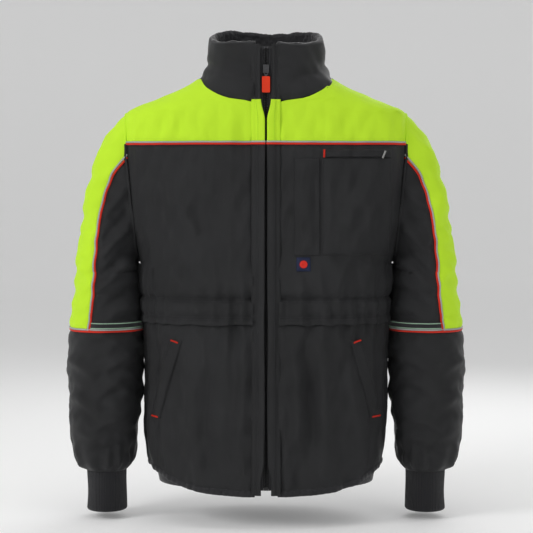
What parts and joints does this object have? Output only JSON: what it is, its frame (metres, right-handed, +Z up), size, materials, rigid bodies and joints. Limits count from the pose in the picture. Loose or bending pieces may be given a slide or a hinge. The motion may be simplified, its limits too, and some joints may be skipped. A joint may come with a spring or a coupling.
{
  "type": "hi-vis padded work jacket",
  "caption": "Padded zip-front work jacket with bright yoke and outer sleeves, piped seams, fleece-lined stand collar and knitted cuffs.",
  "frame": {"origin": "centre of the hanger loop inside the back of the neck", "axes": "+Z up along the worn jacket, -Y out of its front, +X to the wearer's left"},
  "size_m": [0.741, 0.2856, 0.8952],
  "materials": {
    "dark_cloth": "matt woven polyester",
    "bright_cloth": "fluorescent yellow-green woven polyester",
    "red_cord": "covered piping cord",
    "reflective_cord": "silver reflective tape over cord",
    "wadding": "loose polyester wadding",
    "lining": "smooth taffeta",
    "fleece": "curly pile fleece",
    "rib_knit": "ribbed knit",
    "zip_plastic": "moulded",
    "zip_metal": "dark plated",
    "orange_rubber": "moulded soft grip",
    "webbing": "woven tape",
    "badge_red": "embroidered disc",
    "badge_dark": "embroidered square"
  },
  "bodies": {
    "jacket_body": {"back_lower": "dark_cloth", "back_upper": "dark_cloth", "badge_disc": "badge_red", "badge_patch": "badge_dark", "bar_tacks": "red_cord", "chest_pocket": "dark_cloth", "chest_pocket_welt": "dark_cloth", "collar_fleece": "fleece", "collar_outer": "dark_cloth", "collar_wadding": "wadding", "front_lower_left": "dark_cloth", "front_lower_right": "dark_cloth", "front_upper_left": "dark_cloth", "front_upper_right": "dark_cloth", "hand_pocket_welts": "dark_cloth", "hanger_loop": "webbing", "hem_binding": "dark_cloth", "lining_back": "lining", "lining_front": "lining", "pen_pocket": "dark_cloth", "placket_lips": "dark_cloth", "storm_flap": "dark_cloth", "wadding_back": "wadding", "wadding_front_left": "wadding", "wadding_front_right": "wadding", "waist_flap": "dark_cloth", "yoke_back": "bright_cloth", "yoke_front_left": "bright_cloth", "yoke_front_right": "bright_cloth", "yoke_piping_red": "red_cord", "yoke_piping_silver": "reflective_cord", "zip_box": "zip_plastic", "zip_coils": "zip_plastic", "zip_tapes": "webbing", "zip_top_stops": "zip_plastic"},
    "sleeve_left": {"forearm_left": "dark_cloth", "knit_cuff_left": "rib_knit", "lining_sleeve_left": "lining", "sleeve_band_left": "dark_cloth", "sleeve_inner_left": "dark_cloth", "sleeve_outer_left": "bright_cloth", "sleeve_piping_red_left": "red_cord", "sleeve_piping_silver_left": "reflective_cord", "wadding_forearm_left": "wadding", "wadding_sleeve_inner_left": "wadding", "wadding_sleeve_outer_left": "wadding"},
    "sleeve_right": {"forearm_right": "dark_cloth", "knit_cuff_right": "rib_knit", "lining_sleeve_right": "lining", "sleeve_band_right": "dark_cloth", "sleeve_inner_right": "dark_cloth", "sleeve_outer_right": "bright_cloth", "sleeve_piping_red_right": "red_cord", "sleeve_piping_silver_right": "reflective_cord", "wadding_forearm_right": "wadding", "wadding_sleeve_inner_right": "wadding", "wadding_sleeve_outer_right": "wadding"},
    "zip_pull": {"zip_pull_grip": "orange_rubber", "zip_pull_ring": "zip_metal"},
    "zip_slider": {"zip_slider": "zip_metal"}
  },
  "joints": [
    {"name": "zip_slide", "type": "slide", "parent": "jacket_body", "child": "zip_slider", "axis": [0, 0.0612, 0.9981], "range_m": [-0.741, 0.028]},
    {"name": "zip_pull_swing", "type": "hinge", "parent": "zip_slider", "child": "zip_pull", "pos_m": [0, -0.15511, 0.01309], "axis": [-1, 0, 0], "range_deg": [0, 170]},
    {"name": "left_sleeve_lift", "type": "hinge", "parent": "jacket_body", "child": "sleeve_left", "pos_m": [0.26142, -0.0509, -0.0615], "axis": [0, -1, 0], "range_deg": [0, 45]},
    {"name": "right_sleeve_lift", "type": "hinge", "parent": "jacket_body", "child": "sleeve_right", "pos_m": [-0.26142, -0.0509, -0.0615], "axis": [0, 1, 0], "range_deg": [0, 45]}
  ]
}
